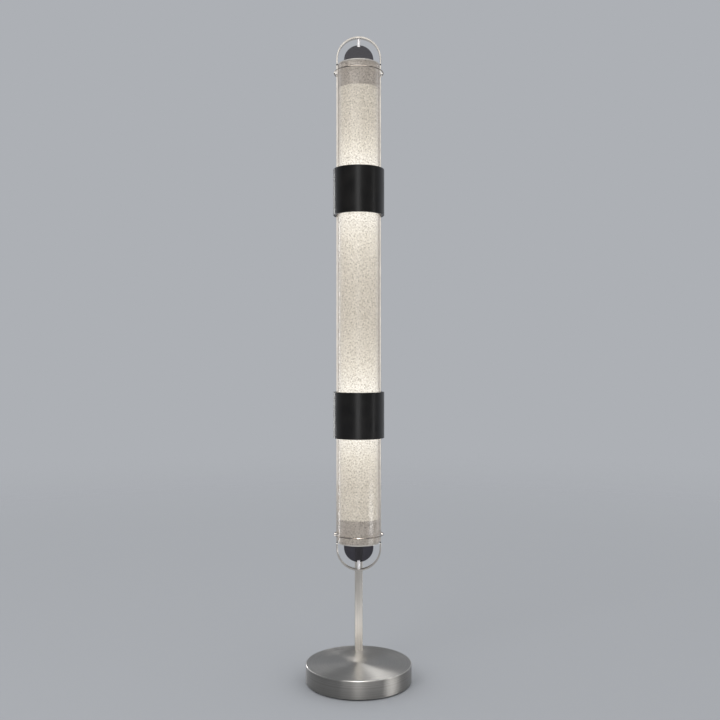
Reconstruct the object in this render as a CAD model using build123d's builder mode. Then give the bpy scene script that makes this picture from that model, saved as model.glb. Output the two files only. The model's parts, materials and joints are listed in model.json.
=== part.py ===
from build123d import *
import math
import os

# Iron floor lamp: a tall glass light column in a flat-strap frame, held by two blackened cuffs
# on a slim upright stem that rises from a heavy round base.
# Millimetres. +Z is up, and the origin is on the floor under the column's axis, which is also
# the middle of the base. The front is -Y, and the stem stands behind the column, at +Y.

# Clearances
fit = 0.3                   # between separate pieces that slide or lie beside each other
hole_clearance = 0.25       # round a screw's shank, on the radius
thread_clearance = 0.1      # round a shank in its tapped hole, on the radius

# Base
base_diameter = 285.0
base_height = 51.0
base_bevel = 1.2            # turned bevel round the top face
cover_wall = 3.0
rolled_edge = 2.0           # outer radius where the cover's lower edge rolls in
lip_width = 2.5             # how far the rolled edge reaches in under the weight
lip_thickness = 2.0
pad_thickness = 3.0
pad_width = 10.0
pad_inset = 2.5             # from the plate's edge to the pad
plate_thickness = 2.0
plate_screw_inset = 24.5    # from the plate's edge to its screw circle
plate_screw_count = 4
plate_screw_angle = 45.0
plate_screw_grip = 12.0     # in the weight

# Stem
stem_width = 22.0
stem_depth = 30.0
stem_wall = 2.0
stem_corner = 1.5
stem_setback = 14.5         # from the base's rear edge to the stem's back face
stem_socket_depth = 26.0    # how far the stem sinks into the weight
stem_rise = 2.0             # the stem's end above the upper bracket
stem_cap_thickness = 3.0
stem_cap_plug = 10.0
stem_cap_edge = 0.8
foot_block_height = 40.0
foot_block_depth = 12.0
bolt_recess = 9.0
bolt_room = 1.0             # round the bolt's head

# Column
column_middle = 1020.0      # height of the column's middle above the floor
cuff_spacing = 600.0        # between the cuffs' middles
cap_spacing = 1290.0        # between the outer faces of the two end caps
arch_spacing = 1320.0       # between the centres of the two arches
hoop_spacing = 1244.0       # between the two wire hoops

# Glass and diffuser
glass_diameter = 112.0
glass_wall = 3.0
diffuser_wall = 2.5
gasket_thickness = 1.0

# Strap frame
strap_thickness = 4.0
strap_depth = 14.0
strap_clearance = 0.5       # from the glass to the strap
strap_edge = 0.4            # eased long edges
arch_leg = 14.0             # straight leg below each half circle
joint_gap = 4.0             # dark joint between an arch's leg and its strap
hoop_wire = 3.0
hoop_gap = 4.0              # from the strap's outer face to the hoop's wire

# Cuffs
cuff_gap = 5.5              # from the strap's outer face to the cuff's inner wall
cuff_wall = 3.0
cuff_height = 124.0
cuff_edge = 0.8
cuff_ring_inset = 1.5
cuff_ring_thickness = 2.0

# Carriers inside the cuffs
carrier_height = 44.0
carrier_rim = 12.0          # from the strap's seat in to the rim's inner wall
carrier_hub = 22.0
carrier_bore = 14.0
carrier_rib = 4.0
carrier_rib_count = 6
screw_seat_rise = 8.0       # from the rim's inner wall out to the seat of the bracket screws

# Light boards
board_thickness = 1.6
board_bore = 8.0
led_circle = 36.0
led_count = 24
led_size = 3.5
led_height = 0.8

# End caps, fins and rods
flange_thickness = 2.5
flange_edge = 0.6
cap_length = 66.0
cap_wall = 2.5
cap_rib_length = 60.0
cap_rib_thickness = 3.0
cap_rib_height = 20.0
fin_radius = 39.7
fin_drop = 2.0              # from the arch's centre in to the centre of the fin's half circle
fin_thickness = 4.0
fin_depth = 18.0            # how far the fin reaches below the end plate
fin_screw_reach = 20.0      # from the axis out to each fin screw
rod_diameter = 9.0
rod_overlap = 4.6           # how far the slotted rod laps over the fin
rod_slot_extra = 0.6

# Brackets
bracket_height = 60.0
bracket_saddle = 38.0       # width against the cuff
bracket_neck = 10.0         # straight part at the stem
bracket_fillet = 8.0
bracket_screw_rise = 14.0   # above and below the cuff's middle
nut_plate_thickness = 4.0
nut_plate_width = 14.0
nut_plate_height = 44.0

# Screws: shank radius, head radius, head height
bracket_screw = (2.5, 4.25, 5.0)
strap_screw = (2.0, 3.5, 2.2)
board_screw = (1.5, 2.6, 1.8)
fin_screw = (2.0, 3.5, 2.4)
arch_screw = (2.0, 4.0, 2.3)
plate_screw = (2.5, 4.75, 1.8)
driver_screw = (1.5, 2.75, 2.0)
foot_bolt = (4.0, 6.5, 8.0)
screw_edge = 0.4            # bevel round a screw's head
socket_corner = 0.4         # hexagon socket's corner radius, as a share of the head's radius
socket_depth = 0.6          # as a share of the head's height
strap_screw_rise = 10.0     # above and below the cuff's middle
strap_screw_depth = 8.0     # in the carrier
board_screw_depth = 8.0
board_screw_count = 3
board_screw_angle = 30.0
arch_screw_depth = 11.0     # in the rod
arch_screw_sink = 0.2       # below the top of the arch
stud_radius = 2.2
stud_tail_radius = 1.25
coupler_pin_radius = 1.0
coupler_pin_reach = 8.0     # into the strap and into the arch's leg
coupler_pin_spacing = 6.0
coupler_width = 10.0
coupler_thickness = 2.6

# Driver, leads and cord inlet
driver_length = 100.0
driver_width = 50.0
driver_height = 26.0
driver_corner = 3.0
driver_edge = 1.5
driver_ear = 8.0
driver_ear_thickness = 3.0
driver_middle = 30.0        # behind the axis
driver_air = 4.0            # free space round the driver
pocket_corner = 6.0
terminal_width = 24.0
terminal_height = 12.0
terminal_depth = 7.0
lead_radius = 2.0
lead_offset = 3.0           # each side of the middle plane
lead_back = 10.5            # from the stem's front face back to the leads
lead_bend = 7.0
lead_hole = 3.2
channel_room = 1.5          # round the leads in the weight
junction_flat = 2.0         # cut off the junction block where the lead ends
inlet_angle = 60.0          # degrees round from +X towards the rear
inlet_height = 16.0
gland_radius = 6.0
gland_bore = 3.75
gland_flange = 9.0
gland_flange_thickness = 3.0
gland_edge = 1.2
gland_reach = 16.5          # from the cover's outer face to the gland's inner end
gland_nut_thickness = 4.0
groove_room = 2.0           # round the gland in the weight

# Worked out from the values above
base_radius = base_diameter / 2
cover_inner = base_radius - cover_wall
weight_top = base_height - cover_wall
weight_bottom = pad_thickness + plate_thickness
plate_radius = cover_inner - lip_width - 2 * fit
pad_outer = plate_radius - pad_inset
plate_screw_circle = plate_radius - plate_screw_inset
lip_top = weight_bottom - fit

stem_back = base_radius - stem_setback
stem_front = stem_back - stem_depth
stem_middle = (stem_front + stem_back) / 2
stem_foot = weight_top - stem_socket_depth

glass_radius = glass_diameter / 2
glass_inner = glass_radius - glass_wall
diffuser_radius = glass_inner - fit
diffuser_inner = diffuser_radius - diffuser_wall
strap_inner = glass_radius + strap_clearance
strap_outer = strap_inner + strap_thickness
strap_centre = (strap_inner + strap_outer) / 2
cuff_inner = strap_outer + cuff_gap
cuff_radius = cuff_inner + cuff_wall
carrier_radius = cuff_inner - fit
carrier_seat = strap_inner - fit
carrier_inner = strap_inner - carrier_rim
board_radius = diffuser_inner - 2 * fit
hoop_radius = strap_outer + hoop_gap + hoop_wire / 2

cuff_offset = cuff_spacing / 2
cap_offset = cap_spacing / 2
arch_offset = arch_spacing / 2
hoop_offset = hoop_spacing / 2
leg_end = arch_offset - arch_leg
strap_end = leg_end - joint_gap
carrier_face = carrier_height / 2
cap_end = cap_offset - cap_length
glass_stop = cap_offset - flange_thickness - gasket_thickness
bracket_low = -bracket_height / 2
stem_top = column_middle + cuff_offset + bracket_height / 2 + stem_rise
lead_y = stem_front + lead_back
board_screw_circle = carrier_inner + 2 * board_screw[0]

ends = {"top": 1, "bottom": -1}
cuffs = {"upper": 1, "lower": -1}

from_below = (Align.CENTER, Align.CENTER, Align.MIN)
from_above = (Align.CENTER, Align.CENTER, Align.MAX)
rim_first = (Align.MIN, Align.CENTER)
rear_of = (Align.CENTER, Align.MIN)


def keep(piece, label):
    """Label a finished piece and write its STEP file."""
    piece.part.label = label
    export_step(piece.part, f"parts/{label}.step")


def level(height):
    """Level plane at a height above or below the column's middle."""
    return Plane.XY.offset(column_middle + height)


def end_plane(sign, offset):
    """Level plane at a distance from the column's middle, looking outwards along the column."""
    return Plane(origin=(0, 0, column_middle + sign * offset), x_dir=(1, 0, 0), z_dir=(0, 0, sign))


def end_face(sign, offset):
    """Upright plane through the axis, seen from the front, with y pointing out of that end."""
    return Plane(origin=(0, 0, column_middle + sign * offset), x_dir=(1, 0, 0), z_dir=(0, -sign, 0))


def facing(y, height=0.0):
    """Upright plane y behind the axis that looks to the front, its origin at a height."""
    return Plane(origin=(0, y, height), x_dir=(1, 0, 0), z_dir=(0, -1, 0))


def sideways(sign, height):
    """Upright plane through the axis that looks out to one side, x pointing to the rear."""
    return Plane(origin=(0, 0, height), x_dir=(0, sign, 0), z_dir=(sign, 0, 0))


def hexagon_socket(sizes):
    """Cut a screw's hexagon socket down from the local plane, as three bars crossed at 60 degrees."""
    shank, head, head_height = sizes
    side = socket_corner * head
    across_flats = side * 3**0.5
    for turn in (0, 60, 120):
        Box(
            across_flats,
            side,
            socket_depth * head_height,
            rotation=(0, 0, turn),
            align=from_above,
            mode=Mode.SUBTRACT,
        )


def screw(sizes, length):
    """Add a screw with its head above the local plane and its shank below it."""
    shank, head, head_height = sizes
    Cylinder(head, head_height - screw_edge, align=from_below)
    Cylinder(shank, length, align=from_above)
    with Locations((0, 0, head_height)):
        Cone(head, head - screw_edge, screw_edge, align=from_above)
        hexagon_socket(sizes)


def flat_screw(sizes, length):
    """Add a countersunk screw whose flat head ends at the local plane."""
    shank, head, head_height = sizes
    Cone(shank, head, head_height, align=from_above)
    Cylinder(shank, length, align=from_above)
    hexagon_socket(sizes)


os.makedirs("parts", exist_ok=True)

# Foot pad under the base
with BuildPart() as foot_pad:
    with BuildSketch():
        Circle(pad_outer)
        Circle(pad_outer - pad_width, mode=Mode.SUBTRACT)
    extrude(amount=pad_thickness)
keep(foot_pad, "foot_pad")

# Sheet plate that closes the base from below
driver_ear_x = (driver_length + driver_ear) / 2
with BuildPart(Plane.XY.offset(pad_thickness)) as base_plate:
    Cylinder(plate_radius, plate_thickness, align=from_below)
    with PolarLocations(plate_screw_circle, plate_screw_count, start_angle=plate_screw_angle):
        Cone(
            plate_screw[1] + thread_clearance,
            plate_screw[0] + thread_clearance,
            plate_screw[2],
            align=from_below,
            mode=Mode.SUBTRACT,
        )
        Cylinder(
            plate_screw[0] + hole_clearance, plate_thickness, align=from_below, mode=Mode.SUBTRACT
        )
    with Locations((-driver_ear_x, driver_middle), (driver_ear_x, driver_middle)):
        Cylinder(
            driver_screw[0] + thread_clearance, plate_thickness, align=from_below, mode=Mode.SUBTRACT
        )
keep(base_plate, "base_plate")

# Countersunk screws that hold the plate to the weight
plate_screw_length = plate_thickness + plate_screw_grip
with BuildPart(Plane(origin=(0, 0, pad_thickness), x_dir=(1, 0, 0), z_dir=(0, 0, -1))) as base_screws:
    with PolarLocations(plate_screw_circle, plate_screw_count, start_angle=plate_screw_angle):
        flat_screw(plate_screw, plate_screw_length)
keep(base_screws, "base_screws")

# Cast weight, pocketed from below for the driver and its wiring
pocket_length = driver_length + 2 * driver_ear + 2 * driver_air
pocket_front = driver_middle - driver_width / 2 - driver_air
pocket_back = driver_middle + driver_width / 2 + terminal_depth + driver_air
pocket_top = weight_bottom + driver_height + driver_air
channel_width = 2 * (lead_offset + lead_radius + channel_room)
channel_back = lead_y + lead_radius + channel_room
bolt_y = stem_back - stem_wall - fit - foot_block_depth / 2
with BuildPart() as base_weight:
    with BuildSketch(Plane.XY.offset(weight_bottom)):
        Circle(cover_inner - fit)
    extrude(amount=weight_top - weight_bottom)
    # Driver pocket
    with BuildSketch(Plane.XY.offset(weight_bottom)):
        with Locations((0, (pocket_front + pocket_back) / 2)):
            RectangleRounded(pocket_length, pocket_back - pocket_front, pocket_corner)
    extrude(amount=pocket_top - weight_bottom, mode=Mode.SUBTRACT)
    # Stem socket, open to the top
    with BuildSketch(Plane.XY.offset(stem_foot)):
        with Locations((0, stem_middle)):
            RectangleRounded(stem_width + 2 * fit, stem_depth + 2 * fit, stem_corner + fit)
    extrude(amount=stem_socket_depth, mode=Mode.SUBTRACT)
    # Lead channel from the socket to the pocket
    with BuildSketch(Plane.XY.offset(weight_bottom)):
        with Locations((0, driver_middle)):
            Rectangle(channel_width, channel_back - driver_middle, align=rear_of)
    extrude(amount=stem_foot - weight_bottom, mode=Mode.SUBTRACT)
    # Hole and recess for the stem's bolt
    with Locations((0, bolt_y, weight_bottom)):
        Cylinder(foot_bolt[1] + bolt_room, bolt_recess, align=from_below, mode=Mode.SUBTRACT)
        Cylinder(
            foot_bolt[0] + hole_clearance, stem_foot - weight_bottom, align=from_below, mode=Mode.SUBTRACT
        )
    # Groove from the cord inlet to the pocket
    with BuildSketch(Plane.XY.offset(weight_bottom)):
        with PolarLocations(0, 1, start_angle=inlet_angle):
            with Locations((pocket_back, 0)):
                Rectangle(base_radius, 2 * (gland_flange + groove_room), align=rim_first)
    extrude(amount=inlet_height - weight_bottom + gland_flange + groove_room, mode=Mode.SUBTRACT)
    # Tapped holes for the plate
    with Locations((0, 0, weight_bottom)):
        with PolarLocations(plate_screw_circle, plate_screw_count, start_angle=plate_screw_angle):
            Cylinder(
                plate_screw[0] + thread_clearance, plate_screw_length, align=from_below, mode=Mode.SUBTRACT
            )
keep(base_weight, "base_weight")

# Spun steel cover, one sheet from the bevelled top to the edge rolled in under the weight
inlet_plane = Plane(
    origin=(
        base_radius * math.cos(math.radians(inlet_angle)),
        base_radius * math.sin(math.radians(inlet_angle)),
        inlet_height,
    ),
    x_dir=(-math.sin(math.radians(inlet_angle)), math.cos(math.radians(inlet_angle)), 0),
    z_dir=(math.cos(math.radians(inlet_angle)), math.sin(math.radians(inlet_angle)), 0),
)
with BuildPart() as base_cover:
    with BuildSketch(Plane.XZ):
        with BuildLine():
            Polyline(
                (0, base_height),
                (base_radius, base_height),
                (base_radius, lip_top - lip_thickness),
                (cover_inner - lip_width, lip_top - lip_thickness),
                (cover_inner - lip_width, lip_top),
                (cover_inner, lip_top),
                (cover_inner, weight_top),
                (0, weight_top),
                close=True,
            )
        make_face()
        rim_corner = vertices().group_by(Axis.X)[-1]
        chamfer(rim_corner.sort_by(Axis.Y)[-1], base_bevel)
        fillet(vertices().group_by(Axis.X)[-1].sort_by(Axis.Y)[0], rolled_edge)
    revolve(axis=Axis.Z)
    with BuildSketch(Plane.XY.offset(weight_top)):
        with Locations((0, stem_middle)):
            RectangleRounded(stem_width + 2 * fit, stem_depth + 2 * fit, stem_corner + fit)
    extrude(amount=cover_wall, mode=Mode.SUBTRACT)
    with BuildSketch(inlet_plane):
        Circle(gland_radius + fit)
    extrude(amount=2 * cover_wall, both=True, mode=Mode.SUBTRACT)
keep(base_cover, "base_cover")

# Cord inlet: a bushed gland in the cover's rear wall and the nut that holds it
with BuildPart(inlet_plane) as cord_gland:
    with Locations((0, 0, thread_clearance)):
        Cylinder(gland_flange, gland_flange_thickness, align=from_below)
        Cylinder(gland_radius, gland_reach + thread_clearance, align=from_above)
    fillet(edges().group_by(Axis(inlet_plane.origin, inlet_plane.z_dir))[-1], gland_edge)
    Cylinder(gland_bore, 2 * (gland_reach + gland_flange_thickness), mode=Mode.SUBTRACT)
keep(cord_gland, "cord_gland")

with BuildPart() as gland_nut:
    with BuildSketch(inlet_plane.offset(-cover_wall - 2 * fit)):
        RegularPolygon(gland_flange, 6, major_radius=False)
        Circle(gland_radius + thread_clearance, mode=Mode.SUBTRACT)
    extrude(amount=-gland_nut_thickness)
keep(gland_nut, "gland_nut")

# Light driver on the base plate, with mounting ears and a terminal towards the stem
terminal_back = driver_middle + driver_width / 2 + terminal_depth
lead_foot_height = weight_bottom + terminal_height / 2
with BuildPart(Plane.XY.offset(weight_bottom)) as driver:
    with BuildSketch(Plane.XY.offset(weight_bottom)):
        with Locations((0, driver_middle)):
            RectangleRounded(driver_length, driver_width, driver_corner)
    extrude(amount=driver_height)
    fillet(faces().sort_by(Axis.Z)[-1].edges(), driver_edge)
    with Locations((0, driver_middle)):
        Box(driver_length + 2 * driver_ear, driver_width / 2, driver_ear_thickness, align=from_below)
    with Locations((0, terminal_back - terminal_depth)):
        Box(terminal_width, terminal_depth, terminal_height, align=(Align.CENTER, Align.MIN, Align.MIN))
    with Locations((-driver_ear_x, driver_middle), (driver_ear_x, driver_middle)):
        Cylinder(
            driver_screw[0] + hole_clearance, driver_ear_thickness, align=from_below, mode=Mode.SUBTRACT
        )
keep(driver, "driver")

with BuildPart(Plane.XY.offset(weight_bottom + driver_ear_thickness)) as driver_screws:
    with Locations((-driver_ear_x, driver_middle), (driver_ear_x, driver_middle)):
        screw(driver_screw, driver_ear_thickness + plate_thickness - fit)
keep(driver_screws, "driver_screws")

# Stem: one rectangular tube, drilled at the front for the bracket screws and the leads
with BuildPart() as stem:
    with BuildSketch(Plane.XY.offset(stem_foot)):
        with Locations((0, stem_middle)):
            RectangleRounded(stem_width, stem_depth, stem_corner)
            Rectangle(stem_width - 2 * stem_wall, stem_depth - 2 * stem_wall, mode=Mode.SUBTRACT)
    extrude(amount=stem_top - stem_foot)
    for sign in cuffs.values():
        with BuildSketch(facing(stem_front, column_middle + sign * cuff_offset)):
            with Locations((0, bracket_screw_rise), (0, -bracket_screw_rise)):
                Circle(bracket_screw[0] + hole_clearance)
            with Locations((sign * lead_offset, 0)):
                Circle(lead_hole)
        extrude(amount=-stem_wall, mode=Mode.SUBTRACT)
keep(stem, "stem")

# Plug that closes the stem's top
with BuildPart() as stem_cap:
    with BuildSketch(Plane.XY.offset(stem_top)):
        with Locations((0, stem_middle)):
            RectangleRounded(stem_width, stem_depth, stem_corner)
    extrude(amount=stem_cap_thickness)
    fillet(faces().sort_by(Axis.Z)[-1].edges(), stem_cap_edge)
    with BuildSketch(Plane.XY.offset(stem_top)):
        with Locations((0, stem_middle)):
            Rectangle(stem_width - 2 * (stem_wall + fit), stem_depth - 2 * (stem_wall + fit))
    extrude(amount=-stem_cap_plug)
keep(stem_cap, "stem_cap")

# Tapped block in the stem's foot and the bolt that pulls the stem down into the weight
with BuildPart() as stem_foot_block:
    with BuildSketch(Plane.XY.offset(stem_foot)):
        with Locations((0, bolt_y)):
            Rectangle(stem_width - 2 * (stem_wall + fit), foot_block_depth)
            Circle(foot_bolt[0] + thread_clearance, mode=Mode.SUBTRACT)
    extrude(amount=foot_block_height)
keep(stem_foot_block, "stem_foot_block")

bolt_seat = weight_bottom + bolt_recess
bolt_plane = Plane(origin=(0, bolt_y, bolt_seat), x_dir=(1, 0, 0), z_dir=(0, 0, -1))
with BuildPart(bolt_plane) as stem_bolt:
    with BuildSketch(bolt_plane):
        RegularPolygon(foot_bolt[1], 6)
    extrude(amount=foot_bolt[2])
    Cylinder(foot_bolt[0], stem_foot - bolt_seat + foot_block_height / 2, align=from_above)
keep(stem_bolt, "stem_bolt")

# Pieces that repeat at each cuff
screw_seat = carrier_inner + screw_seat_rise
bracket_screw_length = stem_front + stem_wall + nut_plate_thickness - screw_seat
for cuff, sign in cuffs.items():
    middle = sign * cuff_offset
    lead_x = sign * lead_offset

    # Tapped plate inside the stem's front wall
    with BuildPart() as nut_plate:
        with BuildSketch(facing(stem_front + stem_wall, column_middle + middle)):
            Rectangle(nut_plate_width, nut_plate_height)
            with Locations((0, bracket_screw_rise), (0, -bracket_screw_rise)):
                Circle(bracket_screw[0] + thread_clearance, mode=Mode.SUBTRACT)
            with Locations((lead_x, 0)):
                Circle(lead_hole, mode=Mode.SUBTRACT)
        extrude(amount=-nut_plate_thickness)
    keep(nut_plate, f"nut_plate_{cuff}")

    # Bracket: a waisted block, flat against the stem and hollowed to the cuff
    with BuildPart() as bracket:
        with BuildSketch(level(middle + bracket_low)):
            with BuildLine():
                Polyline(
                    (-stem_width / 2, stem_front),
                    (stem_width / 2, stem_front),
                    (stem_width / 2, stem_front - bracket_neck),
                    (bracket_saddle / 2, cuff_radius + fit),
                    (bracket_saddle / 2, cuff_radius / 2),
                    (-bracket_saddle / 2, cuff_radius / 2),
                    (-bracket_saddle / 2, cuff_radius + fit),
                    (-stem_width / 2, stem_front - bracket_neck),
                    close=True,
                )
            make_face()
            waist = vertices().group_by(Axis.Y)[-2]
            fillet(waist, bracket_fillet)
            Circle(cuff_radius + fit / 2, mode=Mode.SUBTRACT)
        extrude(amount=bracket_height)
        with BuildSketch(facing(stem_front, column_middle + middle)):
            with Locations((0, bracket_screw_rise), (0, -bracket_screw_rise)):
                Circle(bracket_screw[0] + hole_clearance)
            with Locations((lead_x, 0)):
                Circle(lead_hole)
        extrude(amount=stem_front, mode=Mode.SUBTRACT)
    keep(bracket, f"bracket_{cuff}")

    # Cuff: a blackened sleeve over the joint between two glass tubes
    with BuildPart() as sleeve:
        with BuildSketch(level(middle - cuff_height / 2)):
            Circle(cuff_radius)
            Circle(cuff_inner, mode=Mode.SUBTRACT)
        extrude(amount=cuff_height)
        chamfer(edges().filter_by(GeomType.CIRCLE), cuff_edge)
        with BuildSketch(facing(stem_front, column_middle + middle)):
            with Locations((0, bracket_screw_rise), (0, -bracket_screw_rise)):
                Circle(bracket_screw[0] + hole_clearance)
            with Locations((lead_x, 0)):
                Circle(lead_hole)
        extrude(amount=stem_front, mode=Mode.SUBTRACT)
    keep(sleeve, f"cuff_{cuff}")

    # Rings that close the gap between the cuff and the glass, notched for the straps
    ring_offset = cuff_height / 2 - cuff_ring_inset - cuff_ring_thickness
    for side, facing_sign in {"top": 1, "bottom": -1}.items():
        ring_low = ring_offset if facing_sign > 0 else -ring_offset - cuff_ring_thickness
        with BuildPart() as cuff_ring:
            with BuildSketch(level(middle + ring_low)):
                Circle(cuff_inner - fit)
                Circle(glass_radius + 2 * fit, mode=Mode.SUBTRACT)
                with Locations((-strap_centre, 0), (strap_centre, 0)):
                    Rectangle(strap_thickness + 2 * fit, strap_depth + 2 * fit, mode=Mode.SUBTRACT)
            extrude(amount=cuff_ring_thickness)
        keep(cuff_ring, f"cuff_{cuff}_{side}_ring")

    # Carrier: a spoked casting that joins cuff, straps, glass and light boards
    with BuildPart() as carrier:
        with BuildSketch(level(middle - carrier_face)):
            Circle(carrier_radius)
            Circle(carrier_inner, mode=Mode.SUBTRACT)
            Circle(carrier_hub)
            with PolarLocations(0, carrier_rib_count):
                Rectangle(carrier_seat, carrier_rib, align=rim_first)
            Circle(carrier_bore, mode=Mode.SUBTRACT)
            with PolarLocations(carrier_seat, 2):
                Rectangle(cuff_radius, strap_depth + 2 * fit, align=rim_first, mode=Mode.SUBTRACT)
        extrude(amount=carrier_height)
        # Bracket screws and the lead's way in
        with BuildSketch(facing(stem_front, column_middle + middle)):
            with Locations((0, bracket_screw_rise), (0, -bracket_screw_rise)):
                Circle(bracket_screw[0] + hole_clearance)
            with Locations((lead_x, 0)):
                Circle(lead_hole)
        extrude(amount=stem_front, mode=Mode.SUBTRACT)
        with BuildSketch(facing(screw_seat, column_middle + middle)):
            with Locations((0, bracket_screw_rise), (0, -bracket_screw_rise)):
                Circle(bracket_screw[1] + fit)
        extrude(amount=screw_seat, mode=Mode.SUBTRACT)
        # Tapped holes for the straps and for the light boards
        for side in (1, -1):
            with BuildSketch(sideways(side, column_middle + middle).offset(carrier_seat)):
                with Locations((0, strap_screw_rise), (0, -strap_screw_rise)):
                    Circle(strap_screw[0] + thread_clearance)
            extrude(amount=-strap_screw_depth, mode=Mode.SUBTRACT)
            with BuildSketch(level(middle + side * carrier_face)):
                with PolarLocations(board_screw_circle, board_screw_count, start_angle=board_screw_angle):
                    Circle(board_screw[0] + thread_clearance)
            extrude(amount=-side * board_screw_depth, mode=Mode.SUBTRACT)
    keep(carrier, f"carrier_{cuff}")

    # Junction block in the hub, flat where the lead comes in
    with BuildPart() as junction:
        with BuildSketch(level(middle - carrier_face)):
            Circle(carrier_bore - fit)
            with Locations((0, carrier_bore - junction_flat)):
                Rectangle(2 * carrier_bore, carrier_bore, align=rear_of, mode=Mode.SUBTRACT)
        extrude(amount=carrier_height)
    keep(junction, f"junction_{cuff}")

    # Lead: from the driver's terminal up the stem and forward into the hub
    lead_end = carrier_bore - junction_flat + fit
    with BuildPart() as lead:
        with BuildLine(Plane.YZ.offset(lead_x)) as route:
            FilletPolyline(
                (terminal_back + fit, lead_foot_height),
                (lead_y, lead_foot_height),
                (lead_y, column_middle + middle),
                (lead_end, column_middle + middle),
                radius=lead_bend,
            )
        with BuildSketch(Plane(origin=route.wire() @ 0, z_dir=route.wire() % 0)):
            Circle(lead_radius)
        sweep()
    keep(lead, f"lead_{cuff}")

    # Light boards on the carrier's two faces, a circle of chips on each
    for side, outward in ends.items():
        with BuildPart(end_plane(outward, outward * middle + carrier_face)) as board:
            Cylinder(board_radius, board_thickness, align=from_below)
            Cylinder(board_bore, board_thickness, align=from_below, mode=Mode.SUBTRACT)
            with Locations((0, 0, board_thickness)):
                with PolarLocations(led_circle, led_count):
                    Box(led_size, led_size, led_height, align=from_below)
            with PolarLocations(
                board_screw_circle, board_screw_count, start_angle=outward * board_screw_angle
            ):
                Cylinder(
                    board_screw[0] + hole_clearance, board_thickness, align=from_below, mode=Mode.SUBTRACT
                )
        keep(board, f"light_board_{cuff}_{side}")

# Screws that hold the brackets, cuffs and carriers to the stem
with BuildPart(facing(screw_seat, column_middle)) as bracket_screws:
    for sign in cuffs.values():
        for rise in (bracket_screw_rise, -bracket_screw_rise):
            with Locations((0, sign * cuff_offset + rise)):
                screw(bracket_screw, bracket_screw_length)
keep(bracket_screws, "bracket_screws")

# Screws that hold the straps to the carriers
with BuildPart() as strap_screws:
    for side in (1, -1):
        with Locations(sideways(side, column_middle).offset(strap_outer)):
            for sign in cuffs.values():
                for rise in (strap_screw_rise, -strap_screw_rise):
                    with Locations((0, sign * cuff_offset + rise)):
                        screw(strap_screw, strap_outer - carrier_seat + strap_screw_depth - fit)
keep(strap_screws, "strap_screws")

# Screws that hold the four light boards
with BuildPart() as board_screws:
    for sign in cuffs.values():
        for outward in ends.values():
            board_top = outward * sign * cuff_offset + carrier_face + board_thickness
            with Locations(end_plane(outward, board_top)):
                with PolarLocations(
                    board_screw_circle, board_screw_count, start_angle=outward * board_screw_angle
                ):
                    screw(board_screw, board_thickness + board_screw_depth - fit)
keep(board_screws, "board_screws")

# Opal diffuser tubes and the seeded glass tubes round them
diffuser_spans = {
    "upper": (cuff_offset + carrier_face, cap_end),
    "middle": (carrier_face - cuff_offset, cuff_offset - carrier_face),
    "lower": (-cap_end, -cuff_offset - carrier_face),
}
for tube, (low, high) in diffuser_spans.items():
    with BuildPart() as diffuser:
        with BuildSketch(level(low)):
            Circle(diffuser_radius)
            Circle(diffuser_inner, mode=Mode.SUBTRACT)
        extrude(amount=high - low - fit)
    keep(diffuser, f"diffuser_{tube}")

glass_spans = {
    "upper": (cuff_offset + carrier_face + gasket_thickness, glass_stop),
    "middle": (
        carrier_face - cuff_offset + gasket_thickness,
        cuff_offset - carrier_face - gasket_thickness,
    ),
    "lower": (-glass_stop, -cuff_offset - carrier_face - gasket_thickness),
}
for tube, (low, high) in glass_spans.items():
    with BuildPart() as glass:
        with BuildSketch(level(low)):
            Circle(glass_radius)
            Circle(glass_inner, mode=Mode.SUBTRACT)
        extrude(amount=high - low)
    keep(glass, f"glass_{tube}")

# Soft rings at the six ends of the glass tubes
gasket_levels = [
    level_low
    for low, high in glass_spans.values()
    for level_low in (low - gasket_thickness, high)
]
with BuildPart() as glass_gaskets:
    for gasket_low in gasket_levels:
        with BuildSketch(level(gasket_low)):
            Circle(glass_radius - fit)
            Circle(glass_inner + fit, mode=Mode.SUBTRACT)
        extrude(amount=gasket_thickness)
keep(glass_gaskets, "glass_gaskets")

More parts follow.
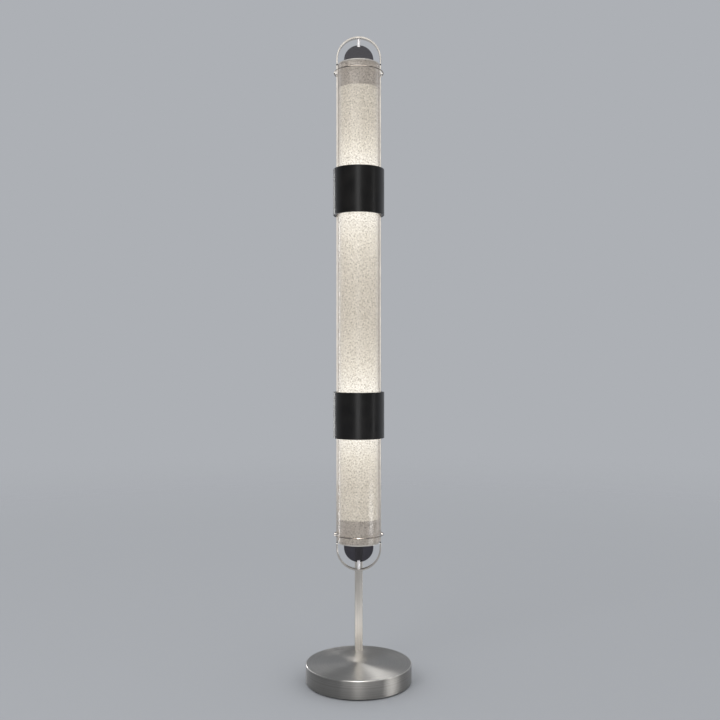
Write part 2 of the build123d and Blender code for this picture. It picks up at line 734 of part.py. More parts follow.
# The two ends of the column, alike and mirrored
fin_centre = arch_offset - fin_drop
fin_foot = cap_offset - flange_thickness - fin_depth - fin_centre
rod_tip = fin_radius - fin_drop - rod_overlap
arch_seat = math.sqrt(strap_inner**2 - (rod_diameter / 2) ** 2)
fin_screw_level = cap_offset - flange_thickness - fin_depth / 2
for end, sign in ends.items():
    # End cap: a flange over the glass, a skirt down inside it and two ribs that grip the fin
    with BuildPart(end_plane(sign, cap_offset)) as end_cap:
        Cylinder(glass_radius, flange_thickness, align=from_above)
        Cylinder(diffuser_radius, cap_length, align=from_above)
        with Locations((0, 0, -flange_thickness)):
            Cylinder(diffuser_radius - cap_wall, cap_length, align=from_above, mode=Mode.SUBTRACT)
            rib_y = (fin_thickness + cap_rib_thickness) / 2 + fit / 2
            with Locations((0, rib_y), (0, -rib_y)):
                Box(cap_rib_length, cap_rib_thickness, cap_rib_height, align=from_above)
        fillet(edges().filter_by(GeomType.CIRCLE).group_by(SortBy.RADIUS)[-1], flange_edge)
        Box(
            2 * (fin_radius + fit),
            fin_thickness + fit,
            2 * flange_thickness,
            mode=Mode.SUBTRACT,
        )
        with BuildSketch(facing(0, column_middle + sign * fin_screw_level)):
            with Locations((-fin_screw_reach, 0), (fin_screw_reach, 0)):
                Circle(fin_screw[0] + hole_clearance)
        extrude(amount=fin_thickness + cap_rib_thickness, both=True, mode=Mode.SUBTRACT)
    keep(end_cap, f"end_cap_{end}")

    # Fin: a flat smoked plate, half round outside the cap and square inside it
    with BuildPart() as fin:
        with BuildSketch(end_face(sign, fin_centre)):
            with BuildLine():
                Polyline(
                    (-fin_radius, 0),
                    (-fin_radius, fin_foot),
                    (fin_radius, fin_foot),
                    (fin_radius, 0),
                )
                RadiusArc((-fin_radius, 0), (fin_radius, 0), fin_radius)
            make_face()
            with Locations(
                (-fin_screw_reach, fin_screw_level - fin_centre),
                (fin_screw_reach, fin_screw_level - fin_centre),
            ):
                Circle(fin_screw[0] + hole_clearance, mode=Mode.SUBTRACT)
        extrude(amount=fin_thickness / 2, both=True)
    keep(fin, f"fin_{end}")

    # Rod: a round bar from the arch, slotted over the fin's edge
    with BuildPart(end_plane(sign, arch_offset)) as rod:
        with Locations((0, 0, rod_tip)):
            Cylinder(rod_diameter / 2, arch_seat - rod_tip, align=from_below)
            Box(
                rod_diameter,
                fin_thickness + fit,
                2 * (rod_overlap + rod_slot_extra),
                mode=Mode.SUBTRACT,
            )
        with Locations((0, 0, arch_seat)):
            Cylinder(
                arch_screw[0] + thread_clearance, arch_screw_depth, align=from_above, mode=Mode.SUBTRACT
            )
    keep(rod, f"rod_{end}")

    # Arch: the strap bent to a half circle, with two short legs
    with BuildPart() as arch:
        with BuildSketch(end_face(sign, arch_offset)):
            with BuildLine():
                outer = RadiusArc((-strap_outer, 0), (strap_outer, 0), strap_outer)
                Line(outer @ 1, (strap_outer, -arch_leg))
                Line((strap_outer, -arch_leg), (strap_inner, -arch_leg))
                Line((strap_inner, -arch_leg), (strap_inner, 0))
                RadiusArc((strap_inner, 0), (-strap_inner, 0), -strap_inner)
                Line((-strap_inner, 0), (-strap_inner, -arch_leg))
                Line((-strap_inner, -arch_leg), (-strap_outer, -arch_leg))
                Line((-strap_outer, -arch_leg), outer @ 0)
            make_face()
        extrude(amount=strap_depth / 2, both=True)
        chamfer(faces().filter_by(GeomType.PLANE).group_by(Axis.Y)[0].edges(), strap_edge)
        chamfer(faces().filter_by(GeomType.PLANE).group_by(Axis.Y)[-1].edges(), strap_edge)
        with Locations(end_plane(sign, arch_offset + strap_outer - arch_screw_sink)):
            Cone(
                arch_screw[0] + thread_clearance,
                arch_screw[1] + thread_clearance,
                arch_screw[2],
                align=from_above,
                mode=Mode.SUBTRACT,
            )
            Cylinder(
                arch_screw[1] + thread_clearance, strap_thickness, align=from_below, mode=Mode.SUBTRACT
            )
            Cylinder(
                arch_screw[0] + hole_clearance, 2 * strap_thickness, align=from_above, mode=Mode.SUBTRACT
            )
        with Locations(end_plane(sign, leg_end)):
            with GridLocations(2 * strap_centre, coupler_pin_spacing, 2, 2):
                Cylinder(
                    coupler_pin_radius + thread_clearance,
                    coupler_pin_reach + fit,
                    align=from_below,
                    mode=Mode.SUBTRACT,
                )
    keep(arch, f"arch_{end}")

    # Hoop: a wire ring round glass and straps
    with BuildPart(end_plane(sign, hoop_offset)) as hoop:
        Torus(hoop_radius, hoop_wire / 2)
    keep(hoop, f"hoop_{end}")

# Straps down both sides, drilled for the couplers, the hoop studs and the carrier screws
for side, side_sign in {"left": -1, "right": 1}.items():
    with BuildPart() as strap:
        with BuildSketch(level(-strap_end)):
            with Locations((side_sign * strap_centre, 0)):
                Rectangle(strap_thickness, strap_depth)
        extrude(amount=2 * strap_end)
        chamfer(edges().filter_by(Axis.Z), strap_edge)
        for sign in ends.values():
            with Locations(end_plane(sign, strap_end)):
                with Locations(
                    (side_sign * strap_centre, coupler_pin_spacing / 2),
                    (side_sign * strap_centre, -coupler_pin_spacing / 2),
                ):
                    Cylinder(
                        coupler_pin_radius + thread_clearance,
                        coupler_pin_reach + fit,
                        align=from_above,
                        mode=Mode.SUBTRACT,
                    )
            with BuildSketch(sideways(side_sign, column_middle).offset(strap_outer)):
                with Locations((0, sign * hoop_offset)):
                    Circle(stud_tail_radius + thread_clearance)
                with Locations(
                    (0, sign * cuff_offset + strap_screw_rise), (0, sign * cuff_offset - strap_screw_rise)
                ):
                    Circle(strap_screw[0] + hole_clearance)
            extrude(amount=-strap_thickness, mode=Mode.SUBTRACT)
    keep(strap, f"strap_{side}")

# Blackened couplers in the four joints between straps and arches
with BuildPart() as strap_couplers:
    for sign in ends.values():
        with Locations(end_plane(sign, strap_end)):
            with Locations((-strap_centre, 0), (strap_centre, 0)):
                Box(coupler_thickness, coupler_width, joint_gap, align=from_below)
                with Locations((0, coupler_pin_spacing / 2), (0, -coupler_pin_spacing / 2)):
                    Cylinder(coupler_pin_radius, joint_gap + coupler_pin_reach, align=from_below)
                    Cylinder(coupler_pin_radius, coupler_pin_reach, align=from_above)
keep(strap_couplers, "strap_couplers")

# Studs that carry the hoops on the straps
with BuildPart() as hoop_studs:
    for side in (1, -1):
        with Locations(sideways(side, column_middle).offset(strap_outer)):
            for sign in ends.values():
                with Locations((0, sign * hoop_offset)):
                    Cylinder(stud_radius, hoop_gap - thread_clearance, align=from_below)
                    Cylinder(stud_tail_radius, strap_thickness - thread_clearance, align=from_above)
keep(hoop_studs, "hoop_studs")

# Screws through the cap ribs and the fins
rib_outside = fin_thickness / 2 + fit / 2 + cap_rib_thickness
with BuildPart() as fin_screws:
    for sign in ends.values():
        for reach in (-fin_screw_reach, fin_screw_reach):
            with Locations(facing(-rib_outside, column_middle + sign * fin_screw_level)):
                with Locations((reach, 0)):
                    screw(fin_screw, 2 * rib_outside)
keep(fin_screws, "fin_screws")

# Countersunk screws through the arches into the rods
with BuildPart() as arch_screws:
    for sign in ends.values():
        with Locations(end_plane(sign, arch_offset + strap_outer - arch_screw_sink)):
            flat_screw(arch_screw, strap_thickness - arch_screw_sink + arch_screw_depth - fit)
keep(arch_screws, "arch_screws")
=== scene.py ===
import json

import bpy
import numpy as np
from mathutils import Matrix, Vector

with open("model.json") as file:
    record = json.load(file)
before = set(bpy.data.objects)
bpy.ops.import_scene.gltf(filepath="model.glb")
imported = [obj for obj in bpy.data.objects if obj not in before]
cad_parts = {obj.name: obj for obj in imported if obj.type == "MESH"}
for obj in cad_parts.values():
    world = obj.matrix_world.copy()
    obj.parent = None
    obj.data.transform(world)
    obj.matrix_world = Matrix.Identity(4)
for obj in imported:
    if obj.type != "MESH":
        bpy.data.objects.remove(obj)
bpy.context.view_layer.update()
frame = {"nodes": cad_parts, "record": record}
nodes = frame["nodes"]

# Metres, in the frame of the CAD: +Z is up, the floor is at 0 and the column stands on the Z axis.
mm = 0.001
base_radius = 0.1425
base_height = 0.051
base_bevel = 1.2 * mm
column_middle = 1.020       # height of the column's middle
cuff_offset = 0.300         # from there to each cuff's middle
board_offset = 0.022        # from a cuff's middle to the light boards on its carrier

# Most of a noise texture's values lie in this range.
noise_range = {"From Min": 0.3, "From Max": 0.7}


def linear(colour):
    """An sRGB hex colour as linear red, green and blue with an alpha of 1."""
    srgb = np.array([int(colour[i : i + 2], 16) / 255 for i in (1, 3, 5)])
    rgb = np.where(srgb <= 0.04045, srgb / 12.92, ((srgb + 0.055) / 1.055) ** 2.4)
    return (*rgb.tolist(), 1.0)


def add(tree, kind, inputs=None, **settings):
    """Add a node with its settings. An input is given a value, or another node's output to link to."""
    node = tree.nodes.new(kind)
    for name, value in settings.items():
        setattr(node, name, value)
    for name, value in (inputs or {}).items():
        if isinstance(value, bpy.types.NodeSocket):
            tree.links.new(value, node.inputs[name])
        else:
            node.inputs[name].default_value = value
    return node


def finish(name, **inputs):
    """A new material with one Principled shader, and the Object coordinates that its patterns follow.
    Underscores in an input's name stand for spaces."""
    material = bpy.data.materials.new(name)
    material.use_nodes = True
    tree = material.node_tree
    shader = tree.nodes["Principled BSDF"]
    for key, value in inputs.items():
        shader.inputs[key.replace("_", " ")].default_value = value
    place = add(tree, "ShaderNodeTexCoord").outputs["Object"]
    return material, tree, shader, place


def connect(tree, shader, **outputs):
    """Link outputs to a shader's inputs. Underscores in an input's name stand for spaces."""
    for key, output in outputs.items():
        tree.links.new(output, shader.inputs[key.replace("_", " ")])


def stops(ramp, *pairs):
    """Set a colour ramp's stops from pairs of place and sRGB hex colour."""
    elements = ramp.color_ramp.elements
    while len(elements) < len(pairs):
        elements.new(0.5)
    for element, (place, colour) in zip(elements, pairs):
        element.position = place
        element.color = linear(colour)


def brushed_nickel():
    """Nickel-plated steel tube, brushed lengthwise: long soft streaks that spread its highlights sideways.
    The real scratches are about 0.1 mm wide and are drawn 1.5 mm wide, so that they show."""
    material, tree, shader, place = finish("brushed_nickel_plate", Metallic=0.85, Anisotropic=0.4)
    streak_width = 1.5 * mm
    streak_length = 1 / 12      # about 83 mm
    cloud_size = 1 / 9          # about 111 mm
    stretched = add(
        tree,
        "ShaderNodeMapping",
        {"Vector": place, "Scale": (1 / streak_width, 1 / streak_width, 1 / streak_length)},
    )
    streaks = add(tree, "ShaderNodeTexNoise", {"Vector": stretched.outputs[0], "Scale": 1.0, "Detail": 4.0})
    clouds = add(tree, "ShaderNodeTexNoise", {"Vector": place, "Scale": 1 / cloud_size, "Detail": 2.0})
    tone = add(tree, "ShaderNodeValToRGB", {"Fac": streaks.outputs["Fac"]})
    stops(tone, (0.3, "#bdb8b1"), (0.7, "#d6d1ca"))
    gloss = add(
        tree,
        "ShaderNodeMapRange",
        {"Value": clouds.outputs["Fac"], **noise_range, "To Min": 0.3, "To Max": 0.4},
    )
    bump = add(
        tree,
        "ShaderNodeBump",
        {"Height": streaks.outputs["Fac"], "Strength": 0.25, "Distance": 0.05 * mm},
    )
    connect(tree, shader, Base_Color=tone.outputs[0], Roughness=gloss.outputs[0], Normal=bump.outputs[0])
    return material


def polished(name, colour, low, high):
    """Metal polished bright, in one colour: clear reflections, with wiping marks that dull them in places
    between a low and a high roughness."""
    material, tree, shader, place = finish(name, Base_Color=linear(colour), Metallic=1.0)
    marks = add(tree, "ShaderNodeTexNoise", {"Vector": place, "Scale": 1 / (12 * mm), "Detail": 5.0})
    gloss = add(
        tree,
        "ShaderNodeMapRange",
        {"Value": marks.outputs["Fac"], "From Min": 0.35, "From Max": 0.7, "To Min": low, "To Max": high},
    )
    connect(tree, shader, Roughness=gloss.outputs[0])
    return material


def turned_steel():
    """Spun steel, brushed while it turned: rings round the axis on the top and round the wall, which
    draw highlights out into fans. The real scratches are near 0.1 mm and are drawn 2 mm apart. The rim,
    where radius + height is largest, is painted paler: a painted highlight."""
    material, tree, shader, place = finish(
        "circular_brushed_steel", Metallic=1.0, Anisotropic=0.85, Anisotropic_Rotation=0.25
    )
    flat = add(tree, "ShaderNodeVectorMath", {0: place, 1: (1.0, 1.0, 0.0)}, operation="MULTIPLY")
    radius = add(tree, "ShaderNodeVectorMath", {0: flat.outputs[0]}, operation="LENGTH").outputs["Value"]
    height = add(tree, "ShaderNodeSeparateXYZ", {"Vector": place}).outputs["Z"]
    across = add(tree, "ShaderNodeMath", {0: radius, 1: height}, operation="SUBTRACT")
    rings = add(
        tree,
        "ShaderNodeTexNoise",
        {"W": across.outputs[0], "Scale": 1 / (2 * mm), "Detail": 3.0, "Roughness": 0.7},
        noise_dimensions="1D",
    )
    clouds = add(tree, "ShaderNodeTexNoise", {"Vector": place, "Scale": 1 / (60 * mm), "Detail": 3.0})
    tone = add(tree, "ShaderNodeValToRGB", {"Fac": rings.outputs["Fac"]})
    stops(tone, (0.3, "#85837f"), (0.7, "#a19e9a"))
    # Painted highlight: the rim is painted paler where radius + height is largest
    outward = add(tree, "ShaderNodeMath", {0: radius, 1: height}, operation="ADD")
    bevel_foot = base_radius + base_height - base_bevel
    rim_highlight_width = 1.6 * mm
    rim_painted_highlight = add(
        tree,
        "ShaderNodeMapRange",
        {"Value": outward.outputs[0], "From Min": bevel_foot - rim_highlight_width, "From Max": bevel_foot},
        interpolation_type="SMOOTHSTEP",
    )
    # A Mix node of colours takes them at its inputs 6 and 7, and gives the result at its output 2.
    bright = add(
        tree,
        "ShaderNodeMix",
        {0: rim_painted_highlight.outputs["Result"], 6: tone.outputs["Color"], 7: linear("#c6c3be")},
        data_type="RGBA",
    )
    gloss = add(
        tree,
        "ShaderNodeMapRange",
        {"Value": clouds.outputs["Fac"], **noise_range, "To Min": 0.29, "To Max": 0.38},
    )
    round_axis = add(tree, "ShaderNodeTangent", direction_type="RADIAL", axis="Z")
    bump = add(
        tree,
        "ShaderNodeBump",
        {"Height": rings.outputs["Fac"], "Strength": 0.08, "Distance": 0.03 * mm},
    )
    connect(tree, shader, Base_Color=bright.outputs[2], Roughness=gloss.outputs[0])
    connect(tree, shader, Tangent=round_axis.outputs[0], Normal=bump.outputs[0])
    return material


def blackened_steel():
    """Steel blackened by oxide and waxed: near black, with the deep satin sheen of the dense oxide and a
    faint brown cast where it is thin."""
    material, tree, shader, place = finish("blackened_waxed_steel", IOR=1.6)
    clouds = add(tree, "ShaderNodeTexNoise", {"Vector": place, "Scale": 1 / (35 * mm), "Detail": 5.0})
    grain = add(tree, "ShaderNodeTexNoise", {"Vector": place, "Scale": 1 / (1.2 * mm), "Detail": 2.0})
    tone = add(tree, "ShaderNodeValToRGB", {"Fac": clouds.outputs["Fac"]})
    stops(tone, (0.3, "#0a0909"), (0.75, "#14110f"))
    gloss = add(
        tree,
        "ShaderNodeMapRange",
        {"Value": clouds.outputs["Fac"], **noise_range, "To Min": 0.28, "To Max": 0.36},
    )
    bump = add(
        tree,
        "ShaderNodeBump",
        {"Height": grain.outputs["Fac"], "Strength": 0.15, "Distance": 0.03 * mm},
    )
    connect(tree, shader, Base_Color=tone.outputs[0], Roughness=gloss.outputs[0], Normal=bump.outputs[0])
    return material


def anodised(name, deep, light):
    """Bead-blasted aluminium with a milky anodised layer, which scatters half of the light: an even, soft
    tone with no streaks."""
    material, tree, shader, place = finish(name, Metallic=0.5)
    grit = add(tree, "ShaderNodeTexNoise", {"Vector": place, "Scale": 1 / (0.8 * mm), "Detail": 2.0})
    clouds = add(tree, "ShaderNodeTexNoise", {"Vector": place, "Scale": 1 / (25 * mm), "Detail": 3.0})
    tone = add(tree, "ShaderNodeValToRGB", {"Fac": clouds.outputs["Fac"]})
    stops(tone, (0.3, deep), (0.7, light))
    gloss = add(
        tree,
        "ShaderNodeMapRange",
        {"Value": grit.outputs["Fac"], **noise_range, "To Min": 0.5, "To Max": 0.62},
    )
    bump = add(
        tree,
        "ShaderNodeBump",
        {"Height": grit.outputs["Fac"], "Strength": 0.3, "Distance": 0.03 * mm},
    )
    connect(tree, shader, Base_Color=tone.outputs[0], Roughness=gloss.outputs[0], Normal=bump.outputs[0])
    return material


def seeded_glass():
    """Soda-lime tube glass full of small air seeds over a faint mottle. Each seed has a painted highlight at
    its centre, which glows by emission for the light that runs in the glass wall, and a dark ring of painted
    shade.
    They are 1 to 2 mm across and are drawn up to 4 mm, so that they show."""
    material, tree, shader, place = finish(
        "seeded_soda_lime_glass", Roughness=0.22, IOR=1.52, Transmission_Weight=1.0, Emission_Strength=1.0
    )
    mottle = add(
        tree,
        "ShaderNodeTexNoise",
        {"Vector": place, "Scale": 1 / (4 * mm), "Detail": 3.0, "Roughness": 0.7},
    )
    large_spacing = 6 * mm
    small_spacing = 3.4 * mm
    large_seeds = add(tree, "ShaderNodeTexVoronoi", {"Vector": place, "Scale": 1 / large_spacing})
    small_seeds = add(tree, "ShaderNodeTexVoronoi", {"Vector": place, "Scale": 1 / small_spacing})
    # The mottle, with painted shade: a dark ring round each seed
    mottle_tone = add(tree, "ShaderNodeValToRGB", {"Fac": mottle.outputs["Fac"]})
    stops(mottle_tone, (0.36, "#d9d6d0"), (0.62, "#fffefc"))
    tone = mottle_tone.outputs["Color"]
    for seeds, dark in ((large_seeds, "#b4b0aa"), (small_seeds, "#cfccc6")):
        ring = add(tree, "ShaderNodeValToRGB", {"Fac": seeds.outputs["Distance"]})
        stops(ring, (0.16, "#ffffff"), (0.28, dark), (0.4, "#ffffff"))
        darkened = add(tree, "ShaderNodeVectorMath", {0: tone, 1: ring.outputs[0]}, operation="MULTIPLY")
        tone = darkened.outputs[0]
    # Painted highlight: each large seed's centre glows by emission, palest in the middle
    painted_glint = add(tree, "ShaderNodeValToRGB", {"Fac": large_seeds.outputs["Distance"]})
    stops(painted_glint, (0.05, "#b3ada4"), (0.2, "#403d3b"), (0.5, "#4a4643"))
    bead = add(
        tree,
        "ShaderNodeMapRange",
        {"Value": large_seeds.outputs["Distance"], "From Max": 0.35, "To Min": 1.0, "To Max": 0.0},
        interpolation_type="SMOOTHSTEP",
    )
    bump = add(
        tree,
        "ShaderNodeBump",
        {"Height": bead.outputs["Result"], "Strength": 0.3, "Distance": 0.08 * mm},
    )
    connect(tree, shader, Base_Color=tone, Emission_Color=painted_glint.outputs[0], Normal=bump.outputs[0])
    return material


def opal_diffuser():
    """Opal acrylic tube, lit by the boards in both cuffs: brightest beside them, and falling to a soft,
    warmer glow. Each cuff adds exp(-distance / glow_fall), so the middle tube, lit from both ends, is the
    brightest. It passes half the light, so its own colour is a mid grey."""
    material, tree, shader, place = finish(
        "extruded_opal_acrylic", Base_Color=linear("#a4a19b"), Roughness=0.5, IOR=1.49, Emission_Strength=1.0
    )
    glow_fall = 0.17            # over this distance a cuff's share falls to 37 percent
    height = add(tree, "ShaderNodeSeparateXYZ", {"Vector": place}).outputs["Z"]
    shares = []
    for cuff in (column_middle - cuff_offset, column_middle + cuff_offset):
        above = add(tree, "ShaderNodeMath", {0: height, 1: cuff}, operation="SUBTRACT")
        aside = add(tree, "ShaderNodeMath", {0: above.outputs[0]}, operation="ABSOLUTE")
        distance = add(tree, "ShaderNodeMath", {0: aside.outputs[0], 1: board_offset}, operation="SUBTRACT")
        fall = add(tree, "ShaderNodeMath", {0: distance.outputs[0], 1: -1 / glow_fall}, operation="MULTIPLY")
        shares.append(add(tree, "ShaderNodeMath", {0: fall.outputs[0]}, operation="EXPONENT").outputs[0])
    near = add(tree, "ShaderNodeMath", {0: shares[0], 1: shares[1]}, operation="ADD")
    glow = add(tree, "ShaderNodeValToRGB", {"Fac": near.outputs[0]})
    stops(glow, (0.2, "#a5a196"), (0.4, "#b6b1a6"), (0.6, "#dbd7cc"), (0.8, "#f8f6ef"))
    connect(tree, shader, Emission_Color=glow.outputs[0])
    return material


def smoked_acrylic():
    """Cast acrylic sheet, smoke grey, with polished faces: dark, and what is behind it shows dimly."""
    material, tree, shader, place = finish("cast_smoked_acrylic", IOR=1.49, Transmission_Weight=1.0)
    clouds = add(tree, "ShaderNodeTexNoise", {"Vector": place, "Scale": 1 / (20 * mm), "Detail": 3.0})
    tone = add(tree, "ShaderNodeValToRGB", {"Fac": clouds.outputs["Fac"]})
    stops(tone, (0.3, "#444048"), (0.7, "#4b474e"))
    gloss = add(
        tree,
        "ShaderNodeMapRange",
        {"Value": clouds.outputs["Fac"], **noise_range, "To Min": 0.12, "To Max": 0.18},
    )
    connect(tree, shader, Base_Color=tone.outputs[0], Roughness=gloss.outputs[0])
    return material


def grained(name, deep, light, size, depth, low, high, **inputs):
    """A moulded, cast or plated surface: a grain of one size and depth in metres that varies its tone from
    deep to light, its roughness from low to high, and its height."""
    material, tree, shader, place = finish(name, **inputs)
    grain = add(tree, "ShaderNodeTexNoise", {"Vector": place, "Scale": 1 / size, "Detail": 4.0})
    tone = add(tree, "ShaderNodeValToRGB", {"Fac": grain.outputs["Fac"]})
    stops(tone, (0.3, deep), (0.7, light))
    gloss = add(
        tree,
        "ShaderNodeMapRange",
        {"Value": grain.outputs["Fac"], **noise_range, "To Min": low, "To Max": high},
    )
    bump = add(tree, "ShaderNodeBump", {"Height": grain.outputs["Fac"], "Strength": 0.6, "Distance": depth})
    connect(tree, shader, Base_Color=tone.outputs[0], Roughness=gloss.outputs[0], Normal=bump.outputs[0])
    return material


finishes = {
    "brushed_nickel": brushed_nickel(),
    # Polished nickel plate: warm grey and bright.
    "polished_nickel": polished("polished_nickel_plate", "#d6d0c8", 0.17, 0.25),
    "turned_steel": turned_steel(),
    "blackened_steel": blackened_steel(),
    # Grey anodised caps: satin, and even behind the glass.
    "satin_cap": anodised("grey_anodised_aluminium", "#c2bdb7", "#d2cdc7"),
    "seeded_glass": seeded_glass(),
    "opal": opal_diffuser(),
    "smoked_acrylic": smoked_acrylic(),
    # Sand-cast iron under a thin grey primer: a coarse, matt grain.
    "cast_iron": grained("sand_cast_iron", "#3d3d3e", "#545453", 2.5 * mm, 0.25 * mm, 0.6, 0.75),
    # Die-cast aluminium: pale, finely pitted.
    "cast_aluminium": grained(
        "die_cast_aluminium", "#a9abad", "#c0c2c4", 1.5 * mm, 0.06 * mm, 0.4, 0.55, Metallic=1.0
    ),
    # Zinc-plated steel: cool and bright with small spangles.
    "zinc_steel": grained(
        "zinc_plated_steel", "#aeb3b6", "#c9ccca", 3.0 * mm, 0.01 * mm, 0.25, 0.4, Metallic=1.0
    ),
    # Silicone rings: milky and soft.
    "silicone": grained("moulded_silicone", "#bdbab4", "#cac7c1", 4.0 * mm, 0.02 * mm, 0.5, 0.6, IOR=1.41),
    # Moulded rubber: black and matt.
    "rubber": grained("moulded_rubber", "#17171a", "#232325", 1.0 * mm, 0.05 * mm, 0.7, 0.85),
    # Glass-filled nylon: black with a dry, fine grain.
    "nylon": grained("moulded_nylon", "#1b1b1c", "#29292a", 0.8 * mm, 0.03 * mm, 0.5, 0.65, IOR=1.53),
    # White solder mask over a board's copper: smooth and slightly glossy.
    "board_white": grained("white_solder_mask", "#dfdfdb", "#ebebe7", 2.0 * mm, 0.01 * mm, 0.3, 0.4),
    # Moulded polycarbonate driver case with a spark-eroded grain.
    "driver_case": grained(
        "moulded_polycarbonate", "#cfcfca", "#dadad5", 0.9 * mm, 0.03 * mm, 0.45, 0.6, IOR=1.58
    ),
    # Extruded PVC sheath: smooth, with long shallow waves.
    "lead_sheath": grained("extruded_pvc_sheath", "#b8b7b2", "#c5c4bf", 6.0 * mm, 0.02 * mm, 0.35, 0.45),
}
for part in frame["record"]["subparts"]:
    for slot in nodes[part["node"]].material_slots:
        slot.material = finishes[part["material_slot"]]

# The hoops are drawn wire, painted browner and darker than the plated pieces as painted shade, with sharp
# highlights.
hoop_painted_darker = polished("polished_hoop_wire_painted_darker", "#b3aa9f", 0.12, 0.2)
# The rods are painted paler than the rest as a painted highlight, so they look bright all round.
rod_painted_paler = anodised("pale_rod_painted_highlight", "#efecee", "#faf8f9")
for end in ("top", "bottom"):
    nodes[f"hoop_{end}"].material_slots[0].material = hoop_painted_darker
    nodes[f"rod_{end}"].material_slots[0].material = rod_painted_paler

# Stage: a pale floor that fades into the surroundings, which have the same colour
pale = "#adb0b5"
floor_level = -0.2 * mm     # just under the foot pad, so that the two faces don't flicker
floor_reach = 9.0           # the disc's radius
fade_start = 1.2            # distances from the lamp between which the floor fades out
fade_end = 6.0


def floor_disc(rings=48, sectors=96):
    """A level disc, finest in the middle: ring i has a radius of floor_reach * (i / rings) ** 2."""
    radius = floor_reach * (np.arange(1, rings + 1) / rings) ** 2
    angle = 2 * np.pi * np.arange(sectors) / sectors
    x = np.outer(radius, np.cos(angle)).ravel()
    y = np.outer(radius, np.sin(angle)).ravel()
    points = np.vstack([[0, 0, 0], np.column_stack([x, y, np.zeros_like(x)])])
    points[:, 2] = floor_level
    step = np.arange(sectors)
    after = (step + 1) % sectors
    fan = np.column_stack([np.zeros(sectors, int), 1 + step, 1 + after])
    inner = 1 + np.arange(rings - 1)[:, None] * sectors
    outer = inner + sectors
    quads = np.stack([inner + step, outer + step, outer + after, inner + after], axis=-1)
    mesh = bpy.data.meshes.new("studio_floor")
    mesh.from_pydata(points.tolist(), [], fan.tolist() + quads.reshape(-1, 4).tolist())
    return mesh


def floor_paint():
    """Matt painted floor: even and pale, with nothing on it but the lamp's shadow."""
    material, tree, shader, place = finish(
        "matt_studio_floor", Base_Color=linear(pale), Roughness=0.9, Specular_IOR_Level=0.0
    )
    radius = add(tree, "ShaderNodeVectorMath", {0: place}, operation="LENGTH")
    fade = add(
        tree,
        "ShaderNodeMapRange",
        {"Value": radius.outputs["Value"], "From Min": fade_start, "From Max": fade_end},
        interpolation_type="SMOOTHSTEP",
    )
    clear = add(tree, "ShaderNodeBsdfTransparent")
    mixed = add(
        tree,
        "ShaderNodeMixShader",
        {0: fade.outputs["Result"], 1: shader.outputs["BSDF"], 2: clear.outputs["BSDF"]},
    )
    tree.links.new(mixed.outputs[0], tree.nodes["Material Output"].inputs["Surface"])
    return material


floor = bpy.data.objects.new("studio_floor", floor_disc())
floor.data.materials.append(floor_paint())
bpy.context.scene.collection.objects.link(floor)


def studio():
    """The surroundings: the pale backdrop for what looks straight at them or through glass, an even white
    fill for matt surfaces, and for reflections the backdrop behind and a dimmer room in front."""
    world = bpy.data.worlds.new("studio")
    world.use_nodes = True
    tree = world.node_tree
    backdrop = tree.nodes["Background"]
    backdrop.inputs["Color"].default_value = linear(pale)
    toward = add(tree, "ShaderNodeTexCoord").outputs["Generated"]
    behind = add(tree, "ShaderNodeSeparateXYZ", {"Vector": toward}).outputs["Y"]
    turn = add(tree, "ShaderNodeMapRange", {"Value": behind, "From Min": -0.1, "From Max": 0.6})
    shade = add(tree, "ShaderNodeValToRGB", {"Fac": turn.outputs["Result"]})
    stops(shade, (0.0, "#505153"), (1.0, pale))
    room = add(tree, "ShaderNodeBackground", {"Color": shade.outputs["Color"]})
    fill = add(tree, "ShaderNodeBackground", {"Color": linear("#ffffff"), "Strength": 0.9})
    ray = add(tree, "ShaderNodeLightPath").outputs
    straight = add(
        tree,
        "ShaderNodeMath",
        {0: ray["Is Camera Ray"], 1: ray["Is Transmission Ray"]},
        operation="MAXIMUM",
    )
    bounced = add(
        tree,
        "ShaderNodeMixShader",
        {0: ray["Is Glossy Ray"], 1: fill.outputs[0], 2: room.outputs[0]},
    )
    mixed = add(
        tree,
        "ShaderNodeMixShader",
        {0: straight.outputs[0], 1: bounced.outputs[0], 2: backdrop.outputs[0]},
    )
    tree.links.new(mixed.outputs[0], tree.nodes["World Output"].inputs["Surface"])
    return world


bpy.context.scene.world = studio()


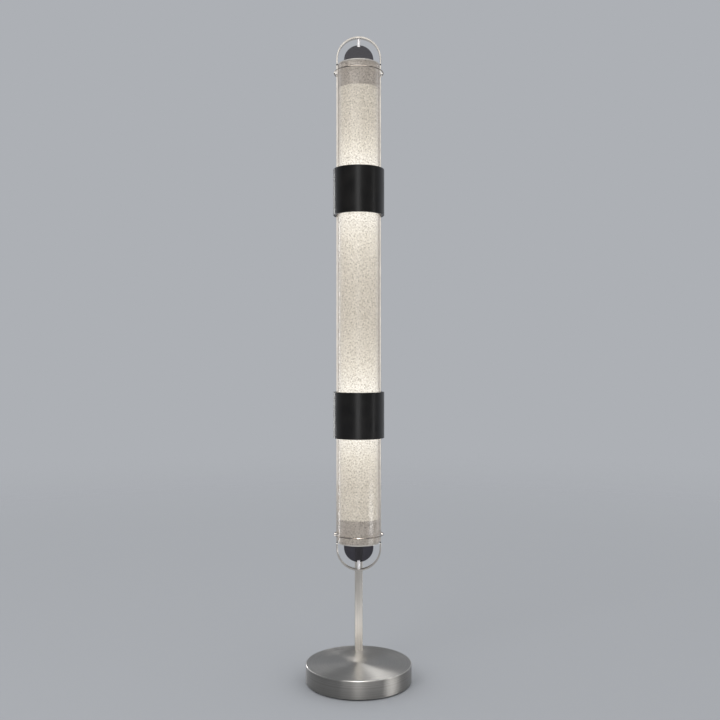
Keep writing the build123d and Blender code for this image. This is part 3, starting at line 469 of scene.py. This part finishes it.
def softbox(name, place, aim, width, height, brightness, spread=180, matt=False):
    """A soft rectangular lamp at a place, facing a point, of a given brightness per area and a spread in
    degrees. With matt it lights matt surfaces, also through glass. Without, it only makes highlights."""
    lamp = bpy.data.lights.new(name, "AREA")
    lamp.shape = "RECTANGLE"
    lamp.size = width
    lamp.size_y = height
    lamp.energy = brightness * np.pi * width * height
    lamp.spread = np.radians(spread)
    item = bpy.data.objects.new(name, lamp)
    item.location = place
    item.rotation_euler = Vector(np.subtract(aim, place)).to_track_quat("-Z", "Y").to_euler()
    item.visible_camera = False
    item.visible_diffuse = matt
    item.visible_transmission = matt
    item.visible_glossy = not matt
    bpy.context.scene.collection.objects.link(item)


# Broad light from the upper left, which also casts the shadow on the floor
softbox("key", (-1.5, -2.2, 2.4), (0, 0, 0.9), 1.6, 1.6, 1.5, matt=True)
# The soft lines down the middle and down both edges of the cuffs, the glass and the straps
softbox("front_strip", (-0.15, -3.2, 1.6), (0, 0, 1.6), 0.9, 3.1, 1.3)
softbox("left_rear_strip", (-0.98, 1.3, 0.85), (0, 0, 0.85), 0.2, 1.7, 6.0)
softbox("right_strip", (1.8, -0.65, 1.0), (0, 0, 0.9), 0.2, 1.6, 1.4)
# The glints on hoops, arches, caps and the base's rim
softbox("overhead", (0.0, -0.6, 2.8), (0, 0, 0.05), 1.6, 1.0, 6.0)
# The fan on the base's top and the band on its wall
softbox("base_fan_lamp", (0.156, 0.206, 0.42), (0.02, -0.02, 0.05), 0.2, 0.2, 1.1, spread=60)
softbox("base_side_lamp", (1.2, -0.38, 0.2), (0, 0, 0.03), 0.85, 0.3, 1.1, spread=50)
# The stem's lower end, and the pale streak in front of it on the base
softbox("stem_lamp", (0.02, -0.24, 0.055), (0, 0.09, 0.1), 0.3, 0.05, 1.3)
softbox("foot_lamp", (0, -1.0, 1.05), (0, 0.1, 0.1), 0.3, 0.4, 1.3, spread=40)

# The camera looks level at the lamp's front, from the height of its middle.
view = bpy.data.cameras.new("view")
view.lens = 44.4
view.sensor_width = 36.0
camera = bpy.data.objects.new("view", view)
camera.location = (0.0035, -2.4, 0.868)
camera.rotation_euler = (np.pi / 2, 0.0, 0.0)
bpy.context.scene.collection.objects.link(camera)
bpy.context.scene.camera = camera
bpy.context.scene.view_settings.view_transform = "Standard"
